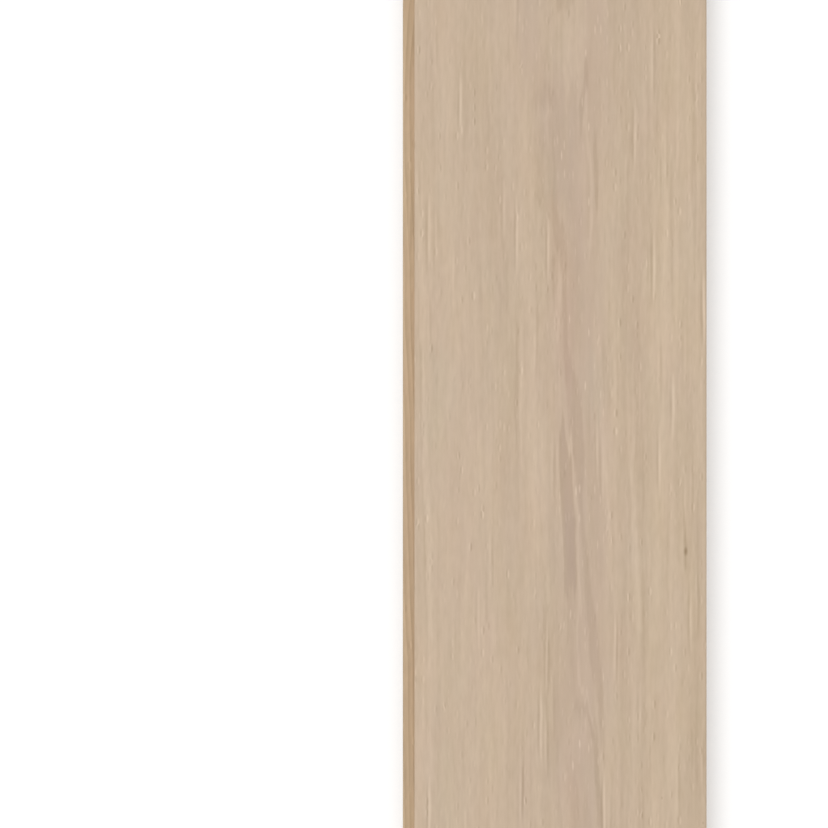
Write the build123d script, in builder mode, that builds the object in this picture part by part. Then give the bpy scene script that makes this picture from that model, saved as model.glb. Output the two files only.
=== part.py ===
"""Solid hardwood floorboard, milled with a tongue and groove on its edges and its ends.

One board sawn and planed from a single piece of oak. +X runs across the width from the tongue to the groove,
+Y runs along the length from the end tongue to the end groove and +Z points up. The origin is in the middle
of the underside, measured across the face that shows, without the tongues. All sizes are in millimetres.
"""

import os

from build123d import *

# The board, as its showing face and its planed thickness
face_width = 150.0
face_length = 1200.0
thickness = 20.0
arris_bevel = 0.5

# The tongue, which stands out from one edge and one end
tongue_length = 6.0
tongue_thickness = 6.0
tongue_nose_radius = 1.2
wear_above_tongue = 7.5

# The groove, which takes the tongue of the next board
tongue_clearance = 0.15
groove_end_clearance = 0.5
groove_lead_in = 0.5
lower_lip_setback = 0.6

# The notch over the tongue that seats the hidden nails
nail_seat = 1.0

# The channels planed along the underside, which let the board lie flat as it dries
channel_count = 6
channel_width = 10.0
channel_depth = 2.2
channel_side_angle = 60.0
channel_corner_radius = 0.8
edge_land = 10.0

# Worked out from the sizes above
half_width = face_width / 2
half_length = face_length / 2
tongue_top = thickness - wear_above_tongue
tongue_middle = tongue_top - tongue_thickness / 2
groove_depth = tongue_length + groove_end_clearance
groove_half_height = tongue_thickness / 2 + tongue_clearance
channel_pitch = (face_width - 2 * edge_land - channel_width) / (channel_count - 1)

# The tongue in section: its root is at the origin and its rounded nose points along -X
with BuildSketch() as tongue:
    Rectangle(tongue_length, tongue_thickness, align=(Align.MAX, Align.CENTER))
    fillet(tongue.vertices().group_by(Axis.X)[0], tongue_nose_radius)

# What the groove cutter takes out, from a mouth at the origin along -X: the slot with its eased mouth, and a
# little off the lower lip, so that two boards meet at their faces first
with BuildSketch() as groove:
    with BuildLine():
        Polyline(
            (0, groove_half_height + groove_lead_in),
            (-groove_lead_in, groove_half_height),
            (-groove_depth, groove_half_height),
            (-groove_depth, -groove_half_height),
            (-lower_lip_setback - groove_lead_in, -groove_half_height),
            (-lower_lip_setback, -groove_half_height - groove_lead_in),
            (-lower_lip_setback, -tongue_middle),
            (0, -tongue_middle),
            close=True,
        )
    make_face()

# One channel of the underside, with sloping sides and rounded inner corners
with BuildSketch() as channel:
    Trapezoid(channel_width, channel_depth, channel_side_angle, align=(Align.CENTER, Align.MIN))
    fillet(channel.vertices().group_by(Axis.Y)[-1], channel_corner_radius)

with BuildPart() as floorboard:
    # The section across the board, from the grooved end to the tip of the end tongue
    with BuildSketch(Plane.XZ.offset(-half_length)) as section:
        Rectangle(face_width, thickness, align=(Align.CENTER, Align.MIN))
        with Locations((-half_width, tongue_top)):
            Polygon((0, 0), (nail_seat, 0), (0, nail_seat), align=Align.NONE, mode=Mode.SUBTRACT)
        with Locations((-half_width, tongue_middle)):
            add(tongue.sketch)
        with Locations((half_width, tongue_middle)):
            add(groove.sketch, mode=Mode.SUBTRACT)
        with GridLocations(channel_pitch, 0, channel_count, 1):
            add(channel.sketch, mode=Mode.SUBTRACT)
    extrude(amount=face_length + tongue_length)

    # The end tongue is left when the waste above and below it is milled away across the board
    with BuildSketch(Plane.YZ):
        with Locations((-half_length, 0)):
            Rectangle(tongue_length, thickness, align=(Align.MAX, Align.MIN))
        with Locations((-half_length, tongue_middle)):
            add(tongue.sketch, mode=Mode.SUBTRACT)
    extrude(amount=face_width, both=True, mode=Mode.SUBTRACT)

    # The end groove is cut across the other end, through the edge tongue as well
    with BuildSketch(Plane.YZ):
        with Locations((half_length, tongue_middle)):
            add(groove.sketch)
    extrude(amount=face_width, both=True, mode=Mode.SUBTRACT)

    # A fine bevel takes the sharpness off the four top arrises
    top_face = floorboard.faces().sort_by(Axis.Z)[-1]
    chamfer(top_face.edges(), arris_bevel)

floorboard.part.label = "floorboard"

os.makedirs("parts", exist_ok=True)
export_step(floorboard.part, "parts/floorboard.step")
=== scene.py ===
"""Looks of a solid oak floorboard: a pale limed face, with bare planed wood on its edges, ends and back."""

import bmesh
import bpy
import numpy as np
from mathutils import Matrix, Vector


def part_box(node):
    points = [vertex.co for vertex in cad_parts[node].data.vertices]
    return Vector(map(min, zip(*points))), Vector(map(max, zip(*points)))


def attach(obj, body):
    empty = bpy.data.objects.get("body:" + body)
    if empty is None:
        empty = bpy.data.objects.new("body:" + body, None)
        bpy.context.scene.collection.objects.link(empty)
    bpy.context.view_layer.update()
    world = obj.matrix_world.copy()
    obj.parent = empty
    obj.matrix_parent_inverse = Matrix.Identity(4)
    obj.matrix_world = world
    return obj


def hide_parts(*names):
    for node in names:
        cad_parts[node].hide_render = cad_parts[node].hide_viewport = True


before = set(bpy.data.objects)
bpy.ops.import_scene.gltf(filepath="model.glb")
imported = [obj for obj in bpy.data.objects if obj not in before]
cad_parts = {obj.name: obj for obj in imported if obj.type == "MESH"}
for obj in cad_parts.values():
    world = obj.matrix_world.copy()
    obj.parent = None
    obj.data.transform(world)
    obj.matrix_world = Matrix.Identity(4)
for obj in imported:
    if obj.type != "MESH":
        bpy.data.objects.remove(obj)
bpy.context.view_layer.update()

# The floorboard: one plank of oak, sawn close to the heart of the log and planed on all sides.
# A cutter mills the tongue on one edge and one end and the groove on the others, and eases the top arrises.
# Its face is brushed, rubbed with white oil and left matt, and everything below the bevel stays bare.
mm = 0.001
low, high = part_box("floorboard")
tongue_length, tongue_thickness, tongue_nose = 6.0, 6.0, 1.2
tongue_top, nail_seat = 12.5, 1.0
groove_depth, groove_top, groove_bottom = 6.5, 12.65, 6.35
groove_lead_in, lower_lip_setback = 0.5, 0.6
arris_bevel = 0.5
channel_count, channel_width, channel_depth, edge_land = 6, 10.0, 2.2, 10.0
channel_side_angle, channel_corner = np.radians(60), 0.8
channel_side_slope = np.tan(channel_side_angle)
thickness = (high.z - low.z) / mm
face_width = (high.x - low.x) / mm - tongue_length
face_length = (high.y - low.y) / mm - tongue_length
channel_middles = np.linspace(-1, 1, channel_count) * ((face_width - channel_width) / 2 - edge_land)

# How the log grew: its heart runs below the face and wanders a little. The values are stations along the
# board, and the heart's place across it and its depth below the face at each of them.
heart_stations = (-640, -430, -213, -142, -73, -9, 59, 152, 260, 440, 640)
heart_places = (5, 3, 11, 10, 7, 5, 3, 0, 5, 9, 6)
heart_depths = (29, 27, 25, 26, 27, 28, 27, 26, 25, 27, 29)


def smooth(step):
    """Rises from 0 to 1 and is level at both ends: 3t^2 - 2t^3."""
    return step * step * (3 - 2 * step)


def eased(at, stations, values):
    """Runs through the values at their stations, level at each and rising or falling smoothly in between."""
    stations, values = np.asarray(stations, float), np.asarray(values, float)
    before = np.clip(np.searchsorted(stations, at) - 1, 0, len(stations) - 2)
    step = np.clip((at - stations[before]) / (stations[before + 1] - stations[before]), 0, 1)
    return values[before] + (values[before + 1] - values[before]) * smooth(step)


def beside_heart(points):
    """Distance across the board from the heart."""
    return points[..., 0] - eased(points[..., 1], heart_stations, heart_places)


def above_heart(points):
    """Height above the heart."""
    return points[..., 2] - thickness + eased(points[..., 1], heart_stations, heart_depths)


# Figure on the face round the heart: dark bands of late wood, and pale lines where open pores hold white oil.
# Each has its tone, the width over which its edge fades, and points up its middle: x, y and half width.
bands = [
    (-0.55, 1.2, ((8.5, -222, 3.0), (6.6, -203, 2.6), (5.4, -187, 2.4), (6.0, -176, 0.6))),
    (-0.55, 1.2, ((14.5, -222, 3.0), (13.0, -203, 1.8), (12.0, -194, 0.2))),
    (-1.3, 0.9, ((20.2, -216, 1.5), (20.0, -195, 1.6), (18.8, -180, 1.4), (17.3, -163, 1.5),
                 (14.5, -154, 2.2))),
    (-0.8, 1.4, ((12.5, -157, 3.8), (11.0, -150, 4.4), (8.0, -146, 1.0))),
    (-0.35, 3.0, ((-4.5, -192, 2.0), (-4.5, -172, 3.5), (-1.0, -148, 5.0), (-2.0, -125, 5.0),
                  (-3.0, -104, 4.0))),
    (-1.2, 0.8, ((-7.4, -165, 0.2), (-8.0, -140, 0.8), (-8.4, -112, 0.9), (-7.6, -102, 1.2),
                 (-5.4, -97, 2.4))),
    (0.5, 2.5, ((9.5, -175, 1.5), (9.5, -166, 3.5), (10.0, -158, 3.0))),
    (1.0, 0.7, ((18.4, -170, 0.4), (16.4, -156, 0.8), (13.0, -146, 1.1), (9.6, -139, 0.8),
                (8.6, -120, 0.2), (9.2, -94, 0.3))),
    (-1.05, 1.2, ((22.4, -184, 0.3), (22.0, -164, 1.2), (19.8, -142, 2.0), (17.5, -125, 2.6),
                  (15.5, -105, 2.4), (13.5, -86, 1.6), (11.2, -60, 0.9), (10.5, -45, 1.0), (10.0, -30, 2.2),
                  (9.2, -14, 3.4), (7.6, 0, 3.8), (5.8, 14, 3.0), (3.8, 27, 2.0), (2.4, 38, 1.3),
                  (2.0, 70, 1.2), (1.0, 85, 2.6), (-1.0, 94, 2.8), (-3.0, 104, 1.4), (-3.4, 120, 0.6),
                  (-3.8, 138, 0.4), (-4.2, 150, 0.2))),
    (-0.3, 1.8, ((22.0, -92, 0.8), (20.0, -70, 3.2), (18.0, -40, 4.3), (16.5, -10, 3.5), (15.0, 10, 1.5))),
    (-1.4, 0.5, ((5.0, -94, 3.0), (4.9, -85, 3.6), (4.6, -75, 3.35), (4.3, -60, 3.2), (3.6, -44, 3.35),
                 (2.8, -29, 3.1), (1.3, -13, 2.0), (0.0, -3, 0.5))),
    (-0.6, 1.5, ((6.4, -142, 0.6), (5.2, -112, 1.8), (4.8, -88, 3.0))),
    (0.9, 0.8, ((10.2, -106, 0.3), (10.0, -98, 0.9), (9.2, -76, 0.5), (8.6, -50, 0.45), (7.0, -34, 0.5),
                (5.4, -18, 0.5), (3.3, -9, 0.3))),
    (0.9, 0.6, ((-1.5, -66, 0.1), (-1.6, -40, 0.2), (-1.6, -24, 0.5), (-1.7, -14, 0.1))),
    (0.5, 4.0, ((-11.0, -78, 2.0), (-11.0, -35, 5.0), (-13.0, 0, 4.0), (-14.0, 42, 3.0))),
    (-0.9, 0.8, ((-2.6, 44, 0.1), (-3.4, 58, 0.6), (-3.8, 84, 1.0))),
    (0.9, 1.0, ((-2.2, 36, 0.3), (-2.2, 48, 1.5), (-0.8, 62, 0.9), (-0.3, 74, 1.2), (-0.8, 86, 0.2))),
    (-0.45, 3.5, ((8.0, 26, 3.0), (8.5, 60, 4.5), (6.5, 100, 4.5), (4.5, 145, 5.0), (7.0, 168, 2.0))),
    (-0.5, 2.5, ((-9.0, 102, 3.5), (-10.5, 122, 5.0), (-11.0, 142, 4.0), (-11.0, 152, 1.0))),
    (-0.35, 3.0, ((-8.0, 155, 5.5), (-9.0, 168, 6.0), (-11.0, 186, 3.0))),
    (-0.45, 2.2, ((-8.5, 154, 5.5), (-9.5, 162, 5.5), (-11.0, 169, 3.0))),
    (0.8, 0.8, ((-9.0, 148, 0.2), (-7.5, 151, 1.2), (-5.5, 153, 1.2), (-4.0, 156, 0.2))),
    (-1.0, 0.8, ((10.5, 140, 0.2), (11.0, 160, 1.2), (12.4, 170, 1.5), (14.0, 184, 0.4))),
    (-0.4, 2.5, ((9.0, 128, 1.0), (10.5, 144, 3.5), (9.0, 158, 3.5), (7.5, 176, 1.0))),
    (0.5, 1.5, ((22.0, 126, 0.4), (22.8, 146, 2.0), (22.8, 162, 1.6), (22.0, 174, 0.3))),
    (0.5, 2.0, ((23.0, 198, 0.5), (23.0, 208, 2.5), (23.0, 218, 2.5))),
    (-0.35, 2.5, ((27.0, 106, 1.0), (28.0, 126, 3.5), (30.0, 142, 2.0))),
    (-1.1, 0.7, ((18.5, 106, 0.2), (18.4, 118, 1.1), (18.1, 136, 1.3), (18.0, 152, 0.3))),
    (0.9, 0.8, ((15.0, 76, 0.3), (15.8, 106, 0.7), (15.5, 128, 0.8), (13.0, 148, 1.2), (13.2, 168, 0.5))),
    (0.35, 4.0, ((9.0, 176, 1.5), (10.5, 192, 4.5), (9.5, 208, 3.0))),
    (-1.0, 1.4, ((2.0, 204, 0.8), (2.4, 210, 4.0), (2.8, 222, 6.0))),
]
# Beside the heart the lines run further apart, and one long pale streak bends in from the tongued edge
bands += [
    (0.9, 0.7, ((-20.0, -26, 0.1), (-20.6, -8, 0.9), (-20.7, 24, 0.9), (-20.7, 54, 0.2))),
    (-0.9, 0.7, ((-22.8, -24, 0.1), (-22.8, 8, 0.8), (-22.8, 62, 0.2))),
    (0.8, 1.1, ((-66.5, -184, 0.2), (-66.5, -147, 0.8), (-67.0, -95, 1.1), (-68.6, -54, 1.5),
                (-70.1, -3, 1.3), (-70.6, 58, 1.5), (-72.2, 94, 1.2), (-73.7, 126, 0.3))),
    (-0.7, 0.8, ((-69.1, -100, 0.2), (-70.6, -54, 0.5), (-72.0, 7, 0.5), (-73.0, 64, 0.2))),
    (-0.65, 3.0, ((-33.7, 72, 0.5), (-34.7, 110, 1.8), (-35.7, 136, 1.8), (-42.4, 184, 0.5))),
    (0.7, 1.0, ((-40.4, -46, 0.2), (-40.8, -24, 0.9), (-41.2, -2, 0.2))),
    (0.6, 1.2, ((30.5, -158, 0.2), (29.0, -121, 0.6), (25.9, -75, 0.8), (23.4, -34, 0.9), (20.8, 7, 0.9),
                (19.3, 54, 0.4))),
    (-0.6, 0.8, ((22.2, -4, 0.3), (22.0, 20, 0.6), (21.8, 46, 0.2))),
    (0.9, 0.8, ((40.3, -120, 0.2), (40.0, -100, 1.7), (38.6, -76, 1.6), (38.0, -62, 1.2), (36.7, -34, 0.9),
                (37.7, -3, 1.0), (36.7, 34, 0.4))),
    (-0.8, 0.8, ((42.3, -143, 0.3), (42.9, -116, 0.7), (42.3, -84, 0.3))),
    (-0.5, 2.0, ((45.0, -200, 0.8), (44.4, -172, 1.8), (43.8, -146, 0.8))),
    (-0.35, 4.0, ((34.0, -4, 1.0), (33.0, 28, 2.6), (33.5, 60, 1.0))),
    (-0.8, 0.8, ((34.7, 66, 0.2), (34.7, 110, 0.7), (35.5, 140, 0.5), (36.4, 164, 0.1))),
    (0.7, 0.8, ((33.4, 96, 0.2), (33.5, 118, 0.7), (34.0, 138, 0.2))),
    (0.6, 1.5, ((53.4, 160, 0.3), (53.7, 182, 1.2), (53.9, 204, 0.4))),
    (-0.7, 0.9, ((67.4, 108, 0.2), (68.0, 146, 0.7), (68.6, 184, 0.3))),
    (-0.6, 0.9, ((57.4, 42, 0.2), (57.0, 88, 0.6), (56.7, 132, 0.3))),
    (-0.8, 0.9, ((70.1, -196, 0.3), (70.6, -106, 0.7), (70.1, -38, 0.2))),
    (-2.2, 0.9, ((63.8, -86, 0.1), (64.0, -80, 0.5), (64.2, -70, 0.7), (63.9, -60, 0.4),
                 (63.8, -52, 0.1))),
]
# Broad zones of the growth, a little paler or darker
bands += [
    (0.2, 9.0, ((-58.0, -640, 17.0), (-57.0, 40, 18.0), (-60.0, 160, 6.0))),
    (-0.12, 6.0, ((-26.0, -640, 7.0), (-27.0, 0, 8.0), (-24.0, 640, 7.0))),
    (-0.35, 6.0, ((3.0, 14, 4.0), (2.0, 60, 9.0), (0.0, 120, 9.5), (-1.0, 168, 6.0))),
    (-0.18, 6.0, ((32.0, -640, 10.0), (31.5, 0, 11.0), (30.0, 640, 10.0))),
    (-0.3, 9.0, ((48.0, 70, 2.0), (46.0, 130, 10.0), (46.0, 230, 10.0))),
    (0.14, 6.0, ((50.0, -640, 6.0), (51.0, 0, 8.0), (54.0, 90, 3.0))),
    (-0.25, 7.0, ((70.0, -640, 6.0), (70.0, 640, 6.0))),
    (0.35, 5.0, ((-34.0, -240, 2.0), (-34.0, -192, 3.0), (-34.0, -168, 0.5))),
    (-0.2, 8.0, ((-4.0, -640, 6.0), (-4.0, 640, 6.0))),
]
# Beyond the length that the photograph shows the heart goes on in the same way, laid out by chance.
# Each dark band there has a pale line along one side.
chance = np.random.default_rng(8)
band_gap, usual_place, tip, pale_half_width, pale_edge = 34, 6, 0.1, 0.6, 0.8
for middle in np.concatenate([np.arange(-590, -225, band_gap), np.arange(235, 600, band_gap)]):
    reach, widest = chance.uniform(25, 75), chance.uniform(0.8, 3.6)
    foot, head = usual_place + chance.normal(0, 7) + chance.normal(0, 2.5, 2)
    belly = (foot + head) / 2 + chance.normal(0, 1)
    start, end = (foot, middle - reach, tip), (head, middle + reach, tip)
    dark_middle = (belly, middle, widest)
    pale_middle = (belly + widest + pale_half_width, middle, pale_half_width)
    bands.append((-chance.uniform(0.4, 1.2), chance.uniform(0.7, 2.5), (start, dark_middle, end)))
    bands.append((chance.uniform(0.5, 1.0), pale_edge, (start, pale_middle, end)))


def by_chance(across, along, wide, long, seed):
    """A number by chance at each corner of cells so wide and long, from -1 to 1, and smooth in between."""
    cells = 512
    numbers = np.random.default_rng(seed).uniform(-1, 1, (cells, cells))
    column, row = across / wide + cells / 2, along / long + cells / 2
    left, below = column.astype(int), row.astype(int)
    right_share, above_share = smooth(column - left), smooth(row - below)
    lower = numbers[below, left] * (1 - right_share) + numbers[below, left + 1] * right_share
    upper = numbers[below + 1, left] * (1 - right_share) + numbers[below + 1, left + 1] * right_share
    return lower * (1 - above_share) + upper * above_share


# Colour of the wood, drawn the same way: cool and greyish over the heart, warmer towards the grooved edge
cool_zones = [
    (1.0, 13.0, ((12.0, -640, 9.0), (8.0, -420, 9.0), (13.0, -260, 8.0), (12.0, -200, 9.0),
                 (7.0, -165, 11.0), (13.0, -130, 12.0), (13.0, -95, 11.0), (9.0, -40, 11.0),
                 (11.0, 20, 9.0), (11.0, 60, 8.0), (10.0, 90, 6.0), (10.0, 125, 8.0), (15.0, 160, 9.0),
                 (18.0, 200, 6.0), (12.0, 260, 8.0), (9.0, 420, 9.0), (6.0, 640, 9.0))),
    (0.9, 10.0, ((1.0, 104, 1.0), (0.0, 130, 4.0), (-7.0, 160, 8.0), (-14.0, 190, 7.0), (-15.0, 230, 5.0),
                 (-6.0, 300, 1.0))),
    (0.6, 1.5, ((5.0, -92, 3.0), (4.6, -75, 3.0), (3.6, -44, 3.0), (2.8, -29, 2.6), (1.0, -10, 0.8))),
    (-0.4, 14.0, ((62.0, -640, 17.0), (60.0, 640, 17.0))),
]
# A few places are pinker, or greener where the tone is below zero
pink_zones = [
    (0.3, 6.0, ((5.0, 5, 0.5), (4.0, 28, 4.0), (2.0, 51, 6.0), (-1.0, 87, 5.0), (-5.0, 118, 2.0))),
    (0.2, 8.0, ((8.0, -216, 5.0), (5.0, -190, 5.0), (6.0, -160, 1.0))),
    (-0.3, 12.0, ((-66.0, -20, 4.0), (-64.0, 12, 8.0), (-62.0, 34, 3.0))),
    (-0.3, 12.0, ((-60.0, -216, 9.0), (-58.0, -190, 8.0), (-60.0, -165, 2.0))),
    (-0.25, 8.0, ((18.0, -4, 4.0), (17.0, 15, 7.0), (18.0, 34, 3.0))),
]


def figure_tone(drawn, across, along):
    """Sum of the drawn bands at each point: a band's full tone inside, fading over its edge and towards its
    ends. Bands sway a little across, and each of their fibres ends sooner or later than the next one, which
    makes their edges ragged."""
    end_fade, broad_sway, fine_sway, fibre_slide = 5, 0.4, 0.2, 7
    swayed = across + broad_sway * by_chance(across, along, wide=9, long=14, seed=1)
    swayed = swayed + fine_sway * by_chance(across, along, wide=3, long=5, seed=2)
    slid = along + fibre_slide * by_chance(across, along, wide=0.9, long=60, seed=3)
    total = np.zeros_like(across)
    for tone, edge, path in drawn:
        middles, stations, half_widths = np.transpose(path)
        from_middle = np.abs(swayed - np.interp(slid, stations, middles))
        outside = from_middle - np.interp(slid, stations, half_widths)
        within = np.clip(np.minimum(slid - stations[0], stations[-1] - slid) / end_fade, 0, 1)
        total += tone * within * np.clip(0.5 - outside / edge, 0, 1)
    return total


# The sides: rectangles stacked from the foot of the bevel down to the underside. Each level has its height,
# and how far it stands out from the face's outline on the grooved sides, the tongued edge and tongued end.
quarter = np.linspace(0, np.pi / 2, 5)
nose_out = tongue_length - tongue_nose + tongue_nose * np.sin(quarter)
nose_drop = tongue_nose * (1 - np.cos(quarter))
nose_levels = [(tongue_top - drop, -groove_depth, out, out) for drop, out in zip(nose_drop, nose_out)]
tongue_bottom = tongue_top - tongue_thickness
seat = tongue_top + nail_seat
levels = [
    (thickness - arris_bevel, 0, 0, 0),
    (seat, 0, 0, 0),
    (groove_top + groove_lead_in, 0, groove_top + groove_lead_in - seat, 0),
    (groove_top, -groove_lead_in, groove_top - seat, 0),
    (groove_top, -groove_depth, groove_top - seat, 0),
    (tongue_top, -groove_depth, -nail_seat, 0),
    *nose_levels,
    *[(tongue_top + tongue_bottom - height, *reach) for height, *reach in nose_levels[::-1]],
    (tongue_bottom, -groove_depth, 0, 0),
    (groove_bottom, -groove_depth, 0, 0),
    (groove_bottom, -lower_lip_setback - groove_lead_in, 0, 0),
    (groove_bottom - groove_lead_in, -lower_lip_setback, 0, 0),
    (0, -lower_lip_setback, 0, 0),
]

# Across the board the levels have a point at every corner of the channels, and along it evenly spaced ones
stop_gap = 25
sharp_roof_edge = channel_width / 2 - channel_depth / channel_side_slope
roof_edge = sharp_roof_edge - channel_corner * np.tan(channel_side_angle / 2)
corner_round = roof_edge + channel_corner * np.sin(np.linspace(0, channel_side_angle, 4))
right_half = np.append(corner_round, channel_width / 2)
stops_across = np.sort((channel_middles[:, None] + np.append(-right_half, right_half)).ravel())
stops_along = np.arange(stop_gap - face_length / 2, (face_length - stop_gap) / 2, stop_gap)


def round_trip(across, along):
    """Points once round a rectangle, anticlockwise from its low corner, given its stops across and along."""
    still_across, still_along = np.ones(len(along) - 1), np.ones(len(across) - 1)
    trip_across = [across[:-1], across[-1] * still_across, across[:0:-1], across[0] * still_across]
    trip_along = [along[0] * still_along, along[:-1], along[-1] * still_along, along[:0:-1]]
    return np.concatenate(trip_across), np.concatenate(trip_along)


def channel_height(across):
    """Height of the underside across the board: channels with sloping sides and a flat roof, and between the
    two a round corner, whose height is that of a circle under the roof."""
    from_middle = np.abs(across[:, None] - channel_middles).min(axis=1)
    sloping = np.clip((channel_width / 2 - from_middle) * channel_side_slope, 0, channel_depth)
    run = np.clip(from_middle - roof_edge, 0, channel_corner * np.sin(channel_side_angle))
    return np.minimum(sloping, channel_depth - channel_corner + np.sqrt(channel_corner ** 2 - run ** 2))


rims = []
for level_height, grooved, tongued_edge, tongued_end in levels:
    across_here = np.concatenate([[-face_width / 2 - tongued_edge], stops_across, [face_width / 2 + grooved]])
    along_here = np.concatenate([[-face_length / 2 - tongued_end], stops_along, [face_length / 2 + grooved]])
    trip = round_trip(across_here, along_here)
    rims.append(np.stack([*trip, np.full(len(trip[0]), level_height)], axis=1))
at_end = np.isin(rims[-1][:, 1], (rims[-1][:, 1].min(), rims[-1][:, 1].max()))
rims[-1][at_end, 2] = channel_height(rims[-1][at_end, 0])
rims = np.stack(rims)

# The face: a fine grid, closest over the heart, brushed some hundredths of a millimetre lower in pale wood
face_edge, face_end = face_width / 2 - arris_bevel, face_length / 2 - arris_bevel
brushed_depth, brushed_change = 0.03, 0.02
grid_across = np.concatenate([
    np.linspace(-face_edge, -64, 24), np.linspace(-62.8, -26, 28),
    np.linspace(-25, 40, 163), np.linspace(40.7, face_edge, 50),
])
grid_along = np.concatenate([
    np.linspace(-face_end, -220, 64), np.linspace(-215, 215, 216), np.linspace(220, face_end, 64),
])
face_across, face_along = np.meshgrid(grid_across, grid_along)
face_tone = figure_tone(bands, face_across, face_along)
brushed = brushed_depth + brushed_change * np.clip(face_tone, -1, 1)
face = np.stack([face_across, face_along, thickness - brushed], axis=2).reshape(-1, 3)


def stitched(upper, upper_way, lower, lower_way):
    """Triangles between two closed rows of points with different spacing, each point with its way round from
    0 to 4. Each edge above goes to the nearest point below, and each edge below to the point above where that
    changes."""
    upper, lower = np.append(upper, upper[0]), np.append(lower, lower[0])
    upper_way, lower_way = np.append(upper_way, 4), np.append(lower_way, 4)
    nearest = np.searchsorted((lower_way[1:] + lower_way[:-1]) / 2, (upper_way[1:] + upper_way[:-1]) / 2)
    change = np.searchsorted(nearest, np.arange(len(lower) - 1), side="right")
    down = np.stack([upper[:-1], lower[nearest], upper[1:]], axis=1)
    up = np.stack([lower[:-1], lower[1:], upper[change]], axis=1)
    return np.concatenate([down, up])


def way_round(across, along):
    """How far round the outline each point lies: side by side, the share of the way along that side."""
    share_across = (across - across.min()) / np.ptp(across)
    share_along = (along - along.min()) / np.ptp(along)
    sides = [share_along == 0, share_across == 1, share_along == 1]
    return np.select(sides, [share_across, 1 + share_along, 3 - share_across], 4 - share_along)


# The points of the face come first in the mesh, then those of each rim
rows, columns = face_across.shape
grid = np.arange(rows * columns).reshape(rows, columns)
face_rim = np.concatenate([grid[0, :-1], grid[:-1, -1], grid[-1, :0:-1], grid[:0:-1, 0]])
rings = grid.size + np.arange(rims.shape[0] * rims.shape[1]).reshape(rims.shape[:2])
points = np.concatenate([face, rims.reshape(-1, 3)])
face_quads = np.stack([grid[:-1, :-1], grid[:-1, 1:], grid[1:, 1:], grid[1:, :-1]], axis=2).reshape(-1, 4)
bevel = stitched(face_rim, way_round(*face[face_rim, :2].T), rings[0], way_round(*rims[0, :, :2].T))
after = np.roll(rings, -1, axis=1)
side_quads = np.stack([rings[:-1], rings[1:], after[1:], after[:-1]], axis=2).reshape(-1, 4)

# The underside: one long strip for each part of the channels, from end to end
across_count, along_count = len(stops_across) + 1, len(stops_along) + 1
front = rings[-1, : across_count + 1]
right = rings[-1, across_count : across_count + along_count + 1]
back = rings[-1, across_count + along_count : 2 * across_count + along_count + 1][::-1]
left = np.append(rings[-1, 2 * across_count + along_count :], front[0])[::-1]
under_quads = np.stack([front[1:-2], back[1:-2], back[2:-1], front[2:-1]], axis=1)
under_edges = [[*left, back[1], front[1]], [front[-2], back[-2], *right[::-1]]]

mesh = bpy.data.meshes.new("floorboard_oak")
faces = [*face_quads.tolist(), *bevel.tolist(), *side_quads.tolist(), *under_quads.tolist(), *under_edges]
mesh.from_pydata((points * mm).tolist(), [], faces)
mesh.polygons.foreach_set("use_smooth", np.arange(len(faces)) < len(face_quads))


def keep_on_points(name, values):
    """Stores one number for each point of the mesh, for the material to read."""
    kept = mesh.attributes.new(name, "FLOAT", "POINT")
    kept.data.foreach_set("value", np.ascontiguousarray(values, np.float32))


keep_on_points("beside_heart", beside_heart(points))
keep_on_points("above_heart", above_heart(points))
keep_on_points("tone", np.append(face_tone.ravel(), np.zeros(rings.size)))
keep_on_points("coolness", figure_tone(cool_zones, *points[:, :2].T))
keep_on_points("pinkness", figure_tone(pink_zones, *points[:, :2].T))

# Levels that coincide on one side are joined there, and the few flat slivers that this leaves are taken out
same_place = 1e-6
joined = bmesh.new()
joined.from_mesh(mesh)
bmesh.ops.remove_doubles(joined, verts=joined.verts, dist=same_place)
bmesh.ops.dissolve_degenerate(joined, edges=joined.edges, dist=same_place)
joined.to_mesh(mesh)
joined.free()
floorboard = bpy.data.objects.new("floorboard_oak", mesh)
bpy.context.collection.objects.link(floorboard)

# The wood itself: fibres run along the board, so every pattern is drawn out along Y
oak = bpy.data.materials.new("limed_oak")
oak.use_nodes = True


def wire(kind, *sources, output=0, **settings):
    """Adds a node to the oak, joins each source to the socket of its number, and gives back one output."""
    made = oak.node_tree.nodes.new(kind)
    for name, value in settings.items():
        setattr(made, name, value)
    for number, source in enumerate(sources):
        if isinstance(source, bpy.types.NodeSocket):
            oak.node_tree.links.new(source, made.inputs[number])
        elif source is not None:
            made.inputs[number].default_value = source
    return made.outputs[output]


def sums(operation, *sources):
    """One step of arithmetic."""
    return wire("ShaderNodeMath", *sources, operation=operation)


def ranged(source, lowest, highest, first=0.0, last=1.0):
    """Carries a number from the span lowest to highest over to the span first to last, and holds it there."""
    return wire("ShaderNodeMapRange", source, lowest, highest, first, last)


def stored(name):
    """Reads a number kept on the mesh."""
    return wire("ShaderNodeAttribute", attribute_name=name, output=2)


mm_per_metre = 1000
place = wire("ShaderNodeTexCoord", output=3)
height = sums("MULTIPLY", wire("ShaderNodeSeparateXYZ", place, output=2), mm_per_metre)
towards_groove = ranged(wire("ShaderNodeSeparateXYZ", place, output=0), -20 * mm, 40 * mm, 0.1, 1.0)


def fibres(at, wide, long, detail, turn):
    """Soft streaks, so many millimetres wide and long, from -1 to 1."""
    roughness = 0.55
    size = (mm_per_metre / wide, mm_per_metre / long, mm_per_metre / wide)
    drawn = wire("ShaderNodeMapping", at, (turn, turn, turn), None, size)
    return ranged(wire("ShaderNodeTexNoise", drawn, None, 1.0, detail, roughness), 0.0, 1.0, -1.0, 1.0)


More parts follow.
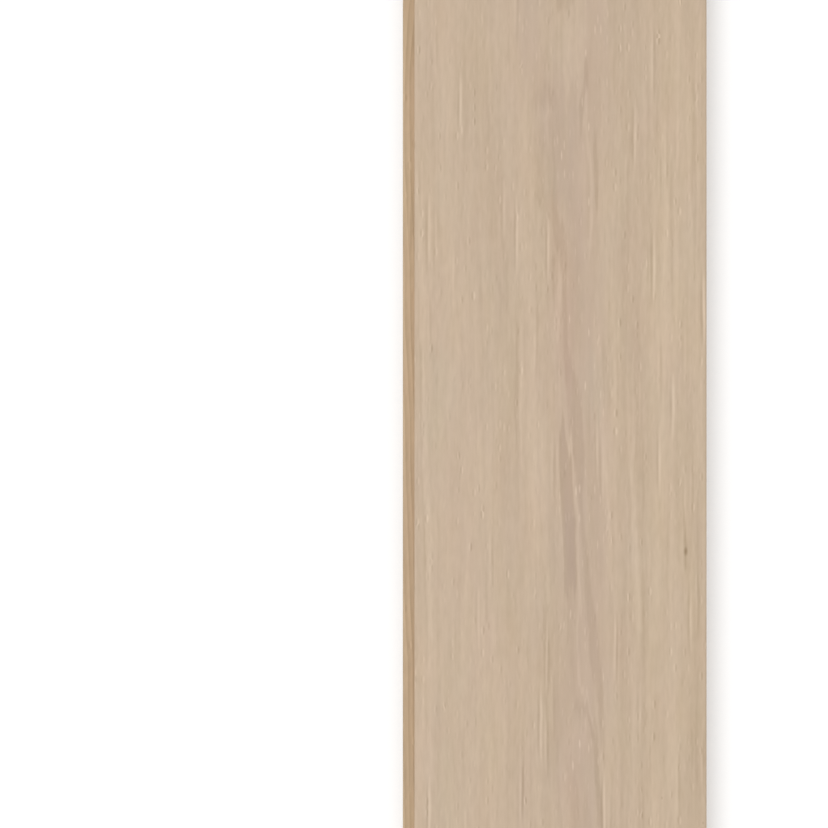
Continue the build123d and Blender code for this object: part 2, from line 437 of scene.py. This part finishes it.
# The fibres sway up to a millimetre from side to side on their way along the board
sway_reach = 1.4 * mm
sway = fibres(place, 12, 80, 2, 61)
grain = wire("ShaderNodeVectorMath", sway, (sway_reach, 0, 0), place, operation="MULTIPLY_ADD")


def pores(wide, long, reach, turn, shadow_offset=0.0):
    """Separate thin spindles along the fibres, one in each cell so many millimetres wide and long. Each fills
    the given share of its cell and is paler or darker by its own amount, from -1 to 1: the cube of an even
    draw, so that most are faint."""
    core = 0.4
    size = (mm_per_metre / wide, mm_per_metre / long, mm_per_metre / wide)
    # The offset shifts the spindles across, which makes the copy laid beside the pores as their painted
    # shadow
    drawn = wire("ShaderNodeMapping", grain, (turn + shadow_offset / wide, turn, turn), None, size)
    cell = wire("ShaderNodeTexVoronoi", drawn, None, 1.0).node
    shape = ranged(cell.outputs["Distance"], reach * core, reach, 1.0, 0.0)
    own = ranged(wire("ShaderNodeSeparateColor", cell.outputs["Color"]), 0.0, 1.0, -1.0, 1.0)
    return sums("MULTIPLY", shape, sums("POWER", own, 3.0))


def weighed(*parts):
    """Adds up parts, each times its weight."""
    total = 0.0
    for part, weight in parts:
        total = sums("MULTIPLY_ADD", part, weight, total)
    return total


def knot(across, along, half_width, half_length):
    """A small dark spot, from 1 in its middle to 0 at its rim."""
    core = 0.2
    size = (mm_per_metre / half_width, mm_per_metre / half_length, 0)
    way_out = wire("ShaderNodeMapping", place, (-across / half_width, -along / half_length, 0), None, size)
    length = wire("ShaderNodeVectorMath", way_out, operation="LENGTH", output=1)
    return ranged(length, core, 1.0, 1.0, 0.0)


knots = weighed(
    (knot(64.3, -70.6, 1.3, 2.8), 1.0),
    (knot(52.1, -197.2, 0.7, 1.0), 0.6),
    (knot(73.2, -210.0, 0.7, 1.0), 0.6),
)

# Growth rings stand round the heart, each darker towards its outside, and show where the wood is bare
beside, above = stored("beside_heart"), stored("above_heart")
heart_distance = sums("SQRT", sums("ADD", sums("POWER", beside, 2.0), sums("POWER", above, 2.0)))
ring_phase = sums("FRACT", weighed((heart_distance, 0.4), (fibres(place, 9, 90, 2, 31), 0.6)))
late_wood = ranged(ring_phase, 0.3, 0.95)
bevel_foot, oil_fade = thickness - arris_bevel, 0.05
finished = ranged(height, bevel_foot - oil_fade, bevel_foot + oil_fade)
bare_rings = sums("MULTIPLY", late_wood, ranged(finished, 0.0, 1.0, -0.16, 0.0))

# Marks of the fibres on the face: pores, each set with a shifted copy of opposite tone beside it as painted
# shadow, fine streaks, and growth lines that are stronger towards the grooved edge
tone = stored("tone")
broken = sums("MULTIPLY", sums("MAXIMUM", tone, 0.0), fibres(grain, 2.2, 12, 2, 41))
# Each set of pores is weighed with its shifted copy at -0.4: painted shadow beside each pore
long_pores_and_painted_shadows = weighed((pores(3.2, 70, 0.32, 3), 0.6), (pores(3.2, 70, 0.32, 3, 1.2), -0.4))
short_pores_and_painted_shadows = weighed((pores(2.2, 8, 0.36, 7), 0.6), (pores(2.2, 8, 0.36, 7, 0.8), -0.4))
crowded_pores_and_painted_shadows = sums("MULTIPLY", short_pores_and_painted_shadows, ranged(fibres(grain, 9, 40, 2, 73), -0.4, 0.4, 0.3, 1.1))
fine_fibres = fibres(grain, 2.8, 50, 2, 17)
growth_lines = sums("MULTIPLY", fibres(grain, 4.2, 130, 1, 37), towards_groove)
strokes = weighed(
    (fine_fibres, 0.095),
    (fibres(grain, 2.0, 9, 1, 23), 0.08),
    (long_pores_and_painted_shadows, 0.38),
    (crowded_pores_and_painted_shadows, 0.37),
    (growth_lines, 0.105),
)

# Over the heart the fibres are cut at a slant, which leaves short open pores that the white oil fills
coolness = sums("MULTIPLY", stored("coolness"), ranged(fibres(grain, 5, 120, 2, 83), -0.5, 0.5, 0.4, 1.6))
open_pores = sums("MAXIMUM", pores(1.6, 9, 0.36, 29), 0.0)
flecks = sums("MULTIPLY", open_pores, ranged(coolness, 0.0, 1.0, 0.15, 1.0))
figure = weighed(
    (fibres(grain, 8, 220, 2, 11), 0.07),
    (sums("MULTIPLY", strokes, ranged(coolness, 0.0, 1.0, 1.0, 0.42)), 1.0),
    (tone, 0.09),
    (broken, 0.09),
    (knots, -0.29),
    (flecks, 0.28),
    (bare_rings, 1.0),
)

# Oil lies unevenly: blotches that are a little pinker or greener, and yellower or greyer
blush = weighed((fibres(place, 14, 40, 2, 53), 0.35), (stored("pinkness"), 1.0))
warmth = fibres(place, 12, 50, 2, 67)
limed_colour = (0.5622, 0.4318, 0.3124, 1)
bare_colour = (0.55, 0.403, 0.26, 1)
number_sockets = [None] * 5
hue = wire("ShaderNodeMix", finished, *number_sockets, bare_colour, limed_colour, output=2, data_type="RGBA")

# Light and dark marks are greyer than the wood, so each colour takes its own share of them
shade = wire("ShaderNodeVectorMath", (0.90, 1.0, 1.14), None, None, figure, operation="SCALE")
shade = wire("ShaderNodeVectorMath", blush, (0.054, -0.020, -0.023), shade, operation="MULTIPLY_ADD")
shade = wire("ShaderNodeVectorMath", warmth, (0.0035, 0.004, -0.04), shade, operation="MULTIPLY_ADD")
shade = wire("ShaderNodeVectorMath", coolness, (-0.030, -0.038, -0.006), shade, operation="MULTIPLY_ADD")
colour = wire("ShaderNodeVectorMath", hue, shade, hue, operation="MULTIPLY_ADD")

shader = oak.node_tree.nodes["Principled BSDF"]
oak.node_tree.links.new(colour, shader.inputs["Base Color"])
shader.inputs["Roughness"].default_value = 0.6
shader.inputs["Specular IOR Level"].default_value = 0.3
bump_strength, bump_depth = 0.3, 0.05 * mm
brushing = weighed((fine_fibres, 0.4), (crowded_pores_and_painted_shadows, 0.6))
brushed_normal = wire("ShaderNodeBump", bump_strength, bump_depth, 1.0, brushing)
oak.node_tree.links.new(brushed_normal, shader.inputs["Normal"])

mesh.materials.append(oak)
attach(floorboard, "root")
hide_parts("floorboard")

# The floor: a plain white sheet that the board lies on, which takes the board's soft shadow.
# What the camera sees of it is lifted to white without putting more light on the board.
floor_reach, floor_gap = 30.0, 0.2 * mm
floor_mesh = bpy.data.meshes.new("floor_sheet")
floor_signs = np.array([(-1, -1, 0), (1, -1, 0), (1, 1, 0), (-1, 1, 0)])
floor_corners = floor_reach * floor_signs + (0, 0, low.z - floor_gap)
floor_mesh.from_pydata(floor_corners.tolist(), [], [(0, 1, 2, 3)])
floor_sheet = bpy.data.objects.new("floor_sheet", floor_mesh)
bpy.context.collection.objects.link(floor_sheet)
white_sheet = bpy.data.materials.new("white_sheet")
white_sheet.use_nodes = True
sheet_shader = white_sheet.node_tree.nodes["Principled BSDF"]
sheet_shader.inputs["Base Color"].default_value = (0.8, 0.8, 0.8, 1)
sheet_shader.inputs["Roughness"].default_value = 1.0
sheet_shader.inputs["Specular IOR Level"].default_value = 0.0


def lifted_when_seen(tree, amount):
    """The extra brightness for rays from the camera, off gloss or through glass, and none for other rays."""
    seen_by = tree.nodes.new("ShaderNodeLightPath")
    camera_or_gloss, seen, lift = (tree.nodes.new("ShaderNodeMath") for step in range(3))
    camera_or_gloss.operation, seen.operation, lift.operation = "MAXIMUM", "MAXIMUM", "MULTIPLY"
    tree.links.new(seen_by.outputs["Is Camera Ray"], camera_or_gloss.inputs[0])
    tree.links.new(seen_by.outputs["Is Glossy Ray"], camera_or_gloss.inputs[1])
    tree.links.new(camera_or_gloss.outputs[0], seen.inputs[0])
    tree.links.new(seen_by.outputs["Is Transmission Ray"], seen.inputs[1])
    tree.links.new(seen.outputs[0], lift.inputs[0])
    lift.inputs[1].default_value = amount
    return lift.outputs[0]


sheet_shader.inputs["Emission Color"].default_value = (1, 1, 1, 1)
sheet_seen = lifted_when_seen(white_sheet.node_tree, 0.3)
white_sheet.node_tree.links.new(sheet_seen, sheet_shader.inputs["Emission Strength"])
floor_mesh.materials.append(white_sheet)

# The light: a plain white room, with one far, broad lamp up to the left that lights the whole floor evenly.
# The room looks white behind the board without putting more light on it.
room = bpy.data.worlds.new("white_room")
bpy.context.scene.world = room
room.use_nodes = True
room_nodes, room_links = room.node_tree.nodes, room.node_tree.links
room_light, room_white = 0.66, 1.0
room_level = room_nodes.new("ShaderNodeMath")
room_level.inputs[1].default_value = room_light
room_links.new(lifted_when_seen(room.node_tree, room_white - room_light), room_level.inputs[0])
room_nodes["Background"].inputs["Color"].default_value = (1, 1, 1, 1)
room_links.new(room_level.outputs[0], room_nodes["Background"].inputs["Strength"])
lamp_data = bpy.data.lights.new("broad_lamp", "SUN")
lamp_data.angle = np.radians(40)
lamp_data.energy = 1.09
lamp = bpy.data.objects.new("broad_lamp", lamp_data)
bpy.context.collection.objects.link(lamp)
lamp.location = (-0.9, 0.3, 2.7)
lamp.rotation_mode = "QUATERNION"
lamp.rotation_quaternion = (-lamp.location).to_track_quat("-Z", "Y")

# The camera: straight above, looking down on the board from as far away as a long lens needs.
# The board's width and place in the frame come from the pixels at which its two long edges lie.
frame_pixels = 828
face_left_pixel, face_right_pixel = 414.47, 706.58
millimetres_per_pixel = face_width / (face_right_pixel - face_left_pixel)
camera_data = bpy.data.cameras.new("camera")
camera_data.lens = 200.0
camera_data.sensor_width = 36.0
camera = bpy.data.objects.new("camera", camera_data)
bpy.context.collection.objects.link(camera)
frame_middle = (frame_pixels / 2 - face_left_pixel) * millimetres_per_pixel - face_width / 2
distance = frame_pixels * millimetres_per_pixel * camera_data.lens / camera_data.sensor_width
camera.location = (frame_middle * mm, 0, (thickness + distance) * mm)
bpy.context.scene.camera = camera
bpy.context.scene.view_settings.view_transform = "Standard"
